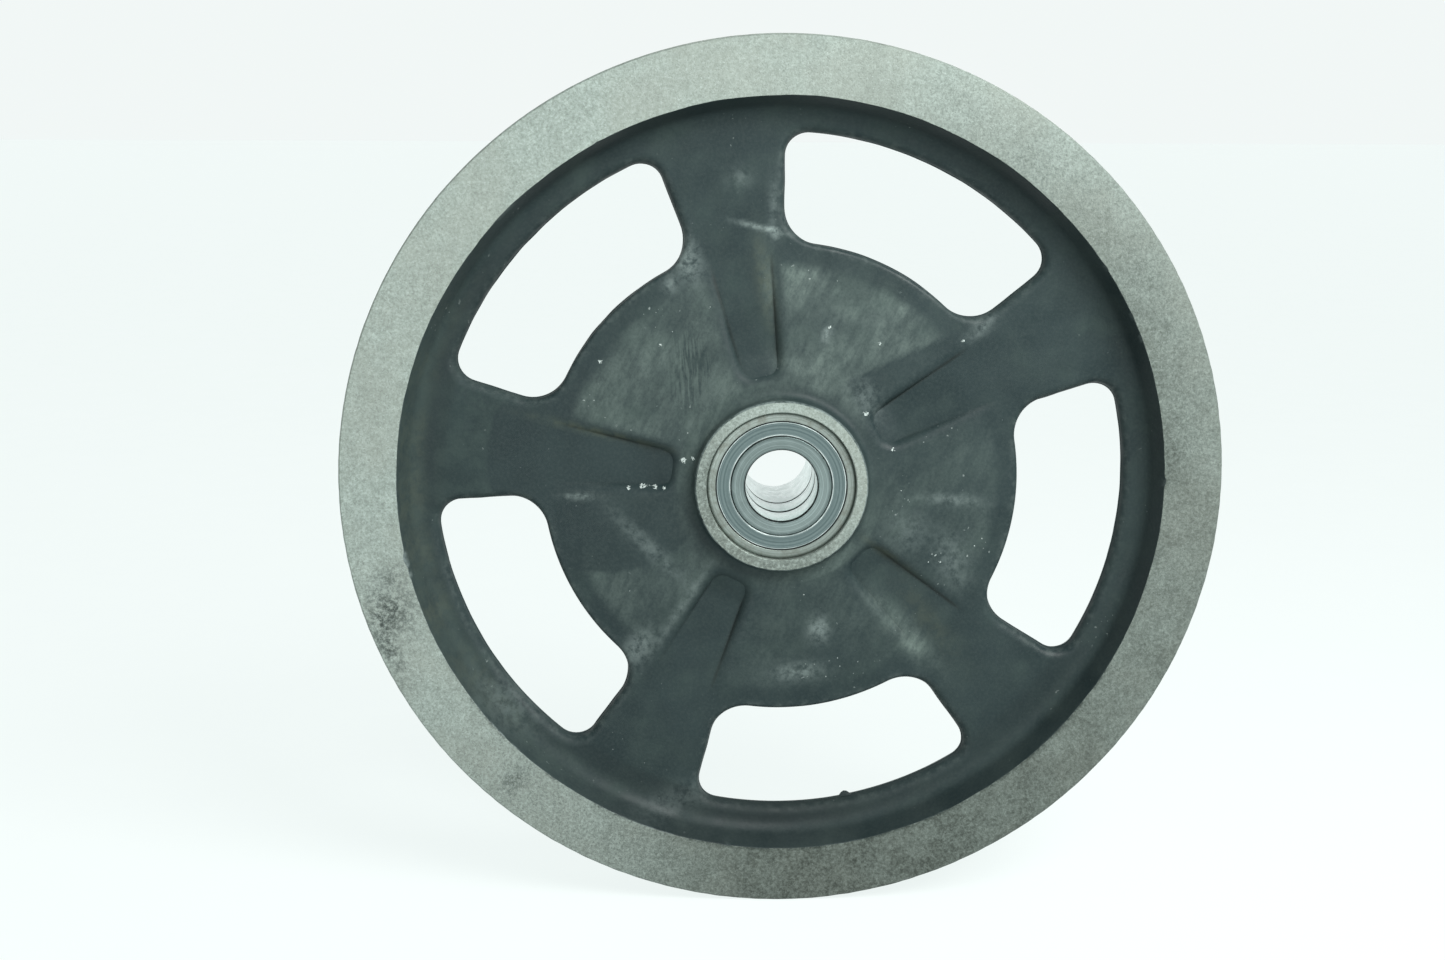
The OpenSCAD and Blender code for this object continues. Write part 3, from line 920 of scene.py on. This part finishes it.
# Chalky patches on the paint: place, half sizes, tilt, strength.
CHALK_PATCHES = [
    ((-46, -23), (17, 3.0), 315, 0.3),
    ((-34, -44), (17, 1.5), 58, 0.3),
    ((-50, -60), (8, 4.5), 55, 0.45),
    ((14, -53), (3.5, 4.5), 0, 0.62),
    ((7, -69), (8, 3.2), 8, 0.5),
    ((-70, -5), (5.5, 1.0), 0, 0.6),
    ((60, -6), (11, 2.0), 355, 0.34),
    ((45, -17), (7, 7), 0, 0.2),
    ((61, -28), (6, 10), 20, 0.28),
    ((-33, 78), (4.5, 8), 20, 0.6),
    ((-38.5, 69), (2.5, 3), 0, 0.4),
    ((-7, 88.3), (8.5, 0.8), 347, 0.75),
    ((-2.5, 87.6), (2.2, 0.9), 347, 0.5),
    ((69, 54.5), (6, 2.2), 40, 0.4),
    ((15.4, 52.5), (1.3, 3), 340, 0.7),
    ((-15, 105), (4, 3.5), 30, 0.22),
    ((-3.5, 96), (1.6, 10), 0, 0.25),
    ((29, 30), (5, 8), 30, 0.3),
    ((-96, -80), (7, 13), 50, 0.22),
    ((-35, -117), (14, 5), 15, 0.25),
]
# Single pale particles: place and radius.
FLECKS = [
    ((-34.2, 8.5), 1.3), ((-30.8, 9.2), 0.9), ((29.2, 25), 1.1), ((38.2, 12.2), 0.9),
    ((-53.5, -1.7), 0.8), ((-48.5, -1.3), 0.85), ((-46.2, -1.0), 0.9), ((-43.6, -1.5), 0.9),
    ((-40.5, -1.6), 0.75), ((33.5, 49.3), 0.9), ((62.5, 49.7), 0.8), ((-62.6, 42.8), 1.0),
    ((-42, 48.3), 0.85), ((-25.3, 61.8), 0.8), ((16.5, 54.5), 0.9),
]
# Ring-shaped marks left by drops: place and radius.
DROP_RINGS = [((-111, 32.8), 1.8), ((-106.3, 30.4), 2.9), ((-108, 19.8), 1.6), ((-104, 27), 1.9)]
# Darkening of the cove at every 30 degrees from +X.
COVE_SHADE = (0.05, 0.0, 0.0, 0.0, 0.15, 0.32, 0.1, 0.0, 0.15, 0.5, 0.15, 0.15)
# Darkening of the rim's face, and how grainy it is, at every 30 degrees from +X.
RIM_TONE = (0.58, 0.52, 0.27, 0.08, 0.0, 0.0, 0.0, 0.02, 0.3, 0.84, 0.76, 0.6)
RIM_GRAIN = (0.2, 0.15, 0.08, 0.02, 0.05, 0.12, 0.15, 0.3, 0.4, 0.35, 0.35, 0.3)


# Stains on the rim's face: angle and radius, half sizes, tilt, strength.
RIM_STAINS = [
    ((198, 143), (9, 9), 200, 1.0),
    ((203.5, 149), (3, 12), 203, 0.9),
    ((228.5, 143), (6, 3.5), 228, 0.8),
    ((193, 138), (6, 4), 193, 0.5),
    ((265, 142), (9, 1.5), 262, 0.3),
]


def casting_masks(co):
    """How strongly each mark shows at each vertex of the casting, by the mark's name."""
    x, y, z = co.T
    r = np.hypot(x, z)
    angle = np.arctan2(z, x)
    degrees = np.degrees(angle) % 360
    front = (y < 0).astype(float)
    distance = nearest_channel(x, z)
    web = smooth((WINDOW_OUT_R + 5 - r) / 4)

    def spots(table):
        return [strength * smudge(x, z, place, size, tilt) * front for place, size, tilt, strength in table]

    def all_round(values):
        return np.interp(degrees, np.arange(13) * 30, [*values, values[0]])

    disc = band(r, 37, 73, 5) * smooth((distance - 1.5) / 4)
    amount = np.zeros_like(r)
    for k, share in enumerate(SECTOR_DUST):
        gap = np.abs(angle_gap(angle, SPOKE_ANGLE + (k + 0.5) * SPOKE_STEP))
        amount = np.maximum(amount, share * smooth((SPOKE_STEP * 0.56 - gap) / 0.25))
    lumps = 0.5 + 0.5 * ripple(x, z, 34, 31)
    dust = disc * amount * (0.5 + 0.5 * lumps)
    clean_d, along = channel_distance(x, z, 0)
    upper = angle_gap(angle, SPOKE_ANGLE) > 0
    clean = smooth((14 - 0.19 * (along - 47) - clean_d) / 1.4) * band(along, 38, 92, 3)
    clean = clean * smooth((clean_d + 12) / 4) * np.where(upper, 1, 0.5)
    dust *= 1 - 0.95 * clean * front
    dust *= 0.35 + 0.65 * front

    dust = np.maximum(dust, np.max(spots(DUST_CLOUDS), axis=0) * smooth((r - 33) / 3))
    comb = 0.3 * smudge(x, z, (-32, 40), (7, 13), 0, 2) * front

    film = 0.3 + 0.3 * ripple(x, z, 30, 32) + 0.25 * ripple(x, z, 12, 33)
    left_d, _ = channel_distance(x, z, 2)
    above = angle_gap(SPOKE_ANGLE + 2 * SPOKE_STEP, angle) > 0
    rinse = smooth((41 - np.hypot(x + 62, z - 8)) / 1.0) * np.where(above, smooth((3 - left_d) / 1.5), 1)
    rinse *= smooth((r - 34) / 6) * front
    film = np.clip(film, 0, 1)
    spoke_gap = np.abs(angle_gap(angle, SPOKE_ANGLE + 2 * SPOKE_STEP))
    film = np.maximum(film, 0.85 * smooth((0.36 - spoke_gap) / 0.1) * band(r, 97, 119, 4) * front)
    film *= 1 - 0.95 * rinse
    film *= 1 - 0.4 * band(r, 77, 83.5, 1.5) * (distance > 1)
    film *= 1 - 0.8 * clean * front
    dust *= 1 - 0.8 * rinse
    for place, size in DROP_RINGS:
        gap = np.hypot(x - place[0], z - place[1]) - size
        inner = 0.5 * smooth((0.7 - np.abs(gap + 1)) / 0.6)
        marked = film * (0.3 + 0.7 * smooth(np.abs(gap) / 0.8)) + inner
        film = np.where(front * (gap < 1) > 0, marked, film)

    lower_left = band(degrees, 165, 228, 28)
    left = band(degrees, 165, 205, 25)
    wall = smooth((r - 122) / 4) * smooth((SIDE_IN_R + 0.5 - r) / 1.0)
    brown = wall * (0.03 + 0.4 * left * (0.6 + 0.4 * ripple(x, z, 19, 62)))
    film = np.maximum(film, 0.95 * wall * lower_left)
    # The boss's fillet is made lighter towards the upper left and lower right: dust, and a painted highlight.
    fillet = band(r, 29.5, 35.5, 2) * np.cos(angle - math.radians(135)) ** 2
    film = np.maximum(film, 0.9 * fillet * front)
    dust = np.maximum(dust, 0.45 * fillet * front)
    shade = 0.36 * smooth((r - 127) / 3) * (r < SIDE_IN_R + 0.5) * (1 - 0.8 * lower_left)
    shade += all_round(COVE_SHADE) * band(r, 119, 126, 3)
    streaks = np.max(spots(BROWN_STREAKS), axis=0)
    brown = np.maximum(brown, streaks)
    film = np.maximum(film, 0.8 * streaks)
    chalk = np.sum(spots(CHALK_PATCHES), axis=0)
    flecks = np.max([smudge(x, z, place, (size, size), 0, 2) for place, size in FLECKS], axis=0) * front
    rim_chalk = (0.3 + 0.3 * band(degrees, 195, 240, 30) - 0.1 * band(degrees, 262, 330, 25)) * (r > SIDE_IN_R)

    crease = crease_dirt_and_shade(x, z, r, angle, distance)
    # Lighter along the windows' rounded edges (wear and a painted highlight), and a painted highlight along
    # each channel wall's crest.
    edge = window_edges(x, z, r, angle) * (np.abs(y) > 1.2)
    edge = np.maximum(edge, np.exp(-(((distance - 3.4) / 1.4) ** 2)) * band(r, 40, 70, 6) * 0.4)
    stain = np.sum(spots([(on_circle(*place), *rest) for place, *rest in RIM_STAINS]), axis=0)
    chipped = smooth((SIDE_IN_R + 1.3 - r) / 1.0) * (r > SIDE_IN_R - 0.5) * band(degrees, 222, 335, 25)
    stain += 0.75 * chipped * (ripple(x, z, 17, 61) > -0.1)
    worn = all_round(RIM_GRAIN) + 0.08 * ripple(x, z, 18, 51)
    tone = all_round(RIM_TONE) + 0.025 * ripple(x, z, 24, 52)
    tone -= 0.012 * (r - 142.5) * band(degrees, 0, 60, 30)
    # On the boss face the tone is a painted shade: darker towards the lower left, lighter towards the upper
    # right.
    hub = r < 60
    tone = np.where(hub, 0.02 + 0.5 * smooth(0.5 + 0.8 * np.cos(angle - math.radians(228))), tone)
    worn = np.where(hub, 0.2, worn)
    return {
        "dust": dust * web,
        "comb": comb,
        "shade": np.clip(shade, 0, 1),
        "film": film,
        "brown": brown,
        "chalk": np.clip(chalk, 0, 1) + np.where(r < BOSS_R + 0.2, 0.7, rim_chalk),
        "crease": crease,
        "edge": edge,
        "stain": np.clip(stain, 0, 1) * front + 0.1,
        "specks": np.clip(0.3 + 0.7 * disc, 0, 1),
        "flecks": flecks,
        "worn": np.clip(worn, 0, 1),
        "tone": np.clip(tone, 0, 1),
    }


def crease_dirt_and_shade(x, z, r, angle, distance):
    """Dirt and painted shade along the foot of each channel's walls."""
    crease = np.zeros_like(r)
    for k, (clockwise, other) in enumerate(CREASE_DIRT_AND_SHADE):
        side = angle_gap(angle, SPOKE_ANGLE + k * SPOKE_STEP)
        share = np.where(side < 0, clockwise, other) * (np.abs(side) < SPOKE_STEP / 2)
        crease = np.maximum(crease, share * (0.75 + 0.25 * ripple(x, z, 21, 41)))
    return np.clip(crease, 0, 1) * np.exp(-(((distance - 0.05) / 0.55) ** 2)) * band(r, 48, 74, 7)


def window_edges(x, z, r, angle):
    """1 along the rounded edges of the windows."""
    result = np.zeros_like(r)
    for centre in window_angles():
        beside = np.abs(angle_gap(angle, centre)) < WINDOW_HALF + 0.08
        near = np.nonzero(beside & (r > 78) & (r < 127))[0]
        outline, _, _ = window_outline(centre)
        for part in np.array_split(near, 12):
            points = np.column_stack([x[part], z[part]])
            gaps = np.linalg.norm(points[:, None] - outline[None], axis=2).min(1)
            result[part] = np.maximum(result[part], np.exp(-(((gaps - 1.2) / 1.3) ** 2)))
    return result


def paint_masks(piece, masks):
    """Stores each mask as an attribute that the materials read."""
    for name, values in masks.items():
        attribute = piece.data.attributes.new(name, "FLOAT", "POINT")
        attribute.data.foreach_set("value", np.asarray(values, np.float32))


def mesh_points(piece):
    """The piece's vertices in millimetres."""
    co = np.zeros(len(piece.data.vertices) * 3, np.float32)
    piece.data.vertices.foreach_get("co", co)
    return co.reshape(-1, 3).astype(float) / MM


def add_casting():
    verts, faces = casting()
    piece = build_mesh("cast_wheel", verts, faces, {"cast": painted_cast(), "bare": bare_face()})
    paint_masks(piece, casting_masks(mesh_points(piece)))
    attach(piece, "wheel")
    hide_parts("pulley_casting")


# ---------- bearings and sleeve ----------

SLEEVE_WALL = 4
SLEEVE_EDGE = 0.7
BORE_R = SLEEVE_HIGH[0] - SLEEVE_WALL
INNER_FACE_R = 17.4
LAND_R = 21.9
MOUTH_R = 22.9
SHIELD_IN_R = 17.56
SHIELD_R = 23.5
SHIELD_Y = BEARING_HALF - 0.75
SHIELD_T = 0.5
# Ball circle, balls, their tracks and the play between a ball and its track.
PITCH_R = 19.55
BALL_R = 3.97
TRACK_R = 4.15
TRACK_HALF = 4.9
PLAY = 0.04


def track(centre_r, side):
    """Ball track as (radius, y) between its shoulders; side is 1 in the outer ring, -1 in the inner."""
    angles = np.linspace(-58, 58, 11)
    return [(centre_r + side * TRACK_R * math.cos(a), TRACK_R * math.sin(a)) for a in np.radians(angles)]


def outer_ring_profile():
    half, shield = BEARING_HALF, SHIELD_Y
    front = [
        (LAND_R, -TRACK_HALF), (MOUTH_R - 0.4, -TRACK_HALF), (MOUTH_R, -TRACK_HALF - 0.4),
        (MOUTH_R, -shield), (SHIELD_R, -shield), (SHIELD_R, -shield - SHIELD_T),
        (MOUTH_R, -shield - SHIELD_T), (MOUTH_R, -half + 0.12), (MOUTH_R + 0.12, -half),
        (SEAT_R - 0.95, -half), (SEAT_R - 0.62, -half + 0.1), (SEAT_R - 0.3, -half + 0.3),
        (SEAT_R - 0.07, -half + 0.55), (SEAT_R, -half + 0.8),
    ]
    middle = track(PITCH_R + PLAY - (TRACK_R - BALL_R), 1)
    return both_sides(front) + list(reversed(middle))


def inner_ring_profile():
    half = BEARING_HALF
    front = [
        (INNER_FACE_R, -TRACK_HALF), (INNER_FACE_R, -half + 0.25), (INNER_FACE_R - 0.22, -half),
        (BORE_R + 0.85, -half), (BORE_R + 0.55, -half + 0.08), (BORE_R + 0.28, -half + 0.4),
        (BORE_R + 0.12, -half + 0.85), (BORE_R, -half + 1.25),
    ]
    middle = track(PITCH_R - PLAY + (TRACK_R - BALL_R), -1)
    return both_sides(front) + list(reversed(middle))


def shield_profile():
    """Pressed shield whose rim is crimped under the ring's mouth and whose inner edge is rolled in."""
    top, low = SHIELD_Y + SHIELD_T, SHIELD_Y
    return [
        (SHIELD_R - 0.02, top - 0.02), (MOUTH_R - 0.02, top - 0.02), (MOUTH_R - 0.08, top - 0.3),
        (MOUTH_R - 0.3, top - 0.3), (MOUTH_R - 0.42, top - 0.02), (MOUTH_R - 0.55, top + 0.03),
        (MOUTH_R - 0.75, top), (18.6, top), (18.35, top + 0.02), (18.1, top + 0.03),
        (17.85, top - 0.02), (SHIELD_IN_R + 0.1, top - 0.2), (SHIELD_IN_R, top - 0.5),
        (SHIELD_IN_R, low - 0.5), (18.1, low - 0.5), (18.2, low), (SHIELD_R - 0.02, low + 0.02),
    ]


def placed(profile, middle, facing):
    """Profile moved to its bearing's middle; facing is -1 to turn its outer side to the front."""
    return [(r, middle + facing * y) for r, y in profile]


def add_bearings():
    outer_steel = ring_steel(
        "bearing_ring_outer", (0.2, 0.235, 0.215), (0.29, 0.335, 0.31), 0.42, 0.8, 0.003, (0.17, 0.185, 0.162)
    )
    inner_steel = ring_steel(
        "bearing_ring_inner", (0.12, 0.155, 0.152), (0.26, 0.32, 0.312), 0.3, 0.75, 0.01, bore=True
    )
    shield_steel = ring_steel(
        "shield_steel", (0.098, 0.136, 0.137), (0.155, 0.203, 0.202), 0.5, 0.6, 0.002, shield=True
    )
    for name, middle in BEARING_MIDDLES.items():
        outer = revolved(f"{name}_outer_race", placed(outer_ring_profile(), middle, 1), outer_steel)
        inner = revolved(f"{name}_inner_race", placed(inner_ring_profile(), middle, 1), inner_steel)
        facing = -1 if name == "front" else 1
        shield = revolved(f"{name}_shield", placed(shield_profile(), middle, facing), shield_steel)
        for piece, body, node, slot in (
            (outer, "wheel", "outer_ring", "bearing_ring"),
            (inner, "shaft_side", "inner_ring", "bearing_ring"),
            (shield, "wheel", "shield_out", "shield"),
        ):
            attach(piece, body)
            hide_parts(f"{name}_{node}")
    return shield_steel


def add_sleeve():
    out_r = SLEEVE_HIGH[0]
    ends = [SLEEVE_LOW[1], SLEEVE_HIGH[1]]
    corners = [(BORE_R, ends[0]), (out_r, ends[0]), (out_r, ends[1]), (BORE_R, ends[1])]
    steel = ring_steel("sleeve_steel", (0.42, 0.47, 0.47), (0.62, 0.68, 0.68), 0.26, 0.5, 0.01, bore=True)
    piece = revolved("rear_sleeve", rounded(corners, SLEEVE_EDGE, 4), steel)
    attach(piece, "shaft_side")
    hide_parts("spacer_sleeve")


def dress_cad_nodes(shield_steel):
    """Gives the CAD nodes that stay their materials."""
    looks = {
        "ball": plain_steel("ball_steel", (0.66, 0.68, 0.7), (0.76, 0.78, 0.8), 0.08, 3.0),
        "cage": plain_steel("cage_steel", (0.3, 0.28, 0.23), (0.44, 0.42, 0.36), 0.32, 1.2),
        "ring": plain_steel("retaining_ring_steel", (0.045, 0.045, 0.048), (0.09, 0.088, 0.085), 0.4, 1.6),
        "shield": shield_steel,
    }
    words = {"ball": "ball", "cage": "cage", "retaining": "ring", "shield": "shield"}
    for name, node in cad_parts.items():
        for word, look in words.items():
            if word in name:
                node.data.materials.clear()
                node.data.materials.append(looks[look])
                break


# ---------- stage ----------

CAMERA_PLACE = (-0.0327, -0.6235, 0.1289)
CAMERA_TURN = (math.radians(78.3), 0.0, math.radians(-1.145))
CAMERA_ROLL = math.radians(0.23)
CAMERA_LENS = 45.0


def add_stage():
    mesh = bpy.data.meshes.new("floor")
    reach, steps = 14.0, 28
    side = np.linspace(-reach, reach, steps + 1)
    level = CASTING_LOW[2] * MM
    points = [(float(x), float(y), level) for y in side for x in side]
    row = steps + 1
    corners = [j * row + i for j in range(steps) for i in range(steps)]
    mesh.from_pydata(points, [], [(c, c + 1, c + row + 1, c + row) for c in corners])
    mesh.materials.append(floor_paper())
    floor = new_object("floor", mesh)


def add_light(name, place, target, size, watts, colour):
    lamp = bpy.data.lights.new(name, "AREA")
    lamp.shape = "RECTANGLE"
    lamp.size, lamp.size_y = size
    lamp.energy = watts
    lamp.color = colour
    light = new_object(name, lamp)
    light.location = place
    light.rotation_euler = (Vector(target) - Vector(place)).to_track_quat("-Z", "Y").to_euler()


def add_lights():
    world = bpy.data.worlds.new("studio")
    world.use_nodes = True
    tree = world.node_tree
    background = tree.nodes["Background"]
    place = tree.nodes.new("ShaderNodeTexCoord")
    split = tree.nodes.new("ShaderNodeSeparateXYZ")
    fade = tree.nodes.new("ShaderNodeMapRange")
    fade.interpolation_type = "SMOOTHSTEP"
    for socket, value in zip(("From Min", "From Max", "To Min", "To Max"), (0.2, 0.55, 0.93, 0.4)):
        fade.inputs[socket].default_value = value
    tree.links.new(place.outputs["Generated"], split.inputs[0])
    tree.links.new(split.outputs["Z"], fade.inputs["Value"])
    tree.links.new(fade.outputs[0], background.inputs["Strength"])
    background.inputs["Color"].default_value = (0.95, 1.0, 0.99, 1.0)
    bpy.context.scene.world = world
    add_light("key_softbox", (0.4, -0.5, 0.56), (0.0, 0, 0.0), (0.5, 0.4), 13.5, (1.0, 1.0, 0.99))
    add_light("fill_softbox", (-0.35, -0.75, 0.02), (0.0, 0, -0.03), (0.6, 0.3), 1.3, (0.97, 1.0, 1.0))


def add_camera():
    lens = bpy.data.cameras.new("camera")
    lens.lens = CAMERA_LENS
    lens.sensor_width = 36.0
    lens.clip_start, lens.clip_end = 0.01, 60.0
    camera = new_object("camera", lens)
    turn = Euler(CAMERA_TURN).to_matrix() @ Euler((0, 0, CAMERA_ROLL)).to_matrix()
    camera.rotation_euler = turn.to_euler()
    camera.location = CAMERA_PLACE
    bpy.context.scene.camera = camera


add_camera()
add_stage()
add_lights()
bpy.context.scene.view_settings.view_transform = "Standard"
add_casting()
dress_cad_nodes(add_bearings())
add_sleeve()
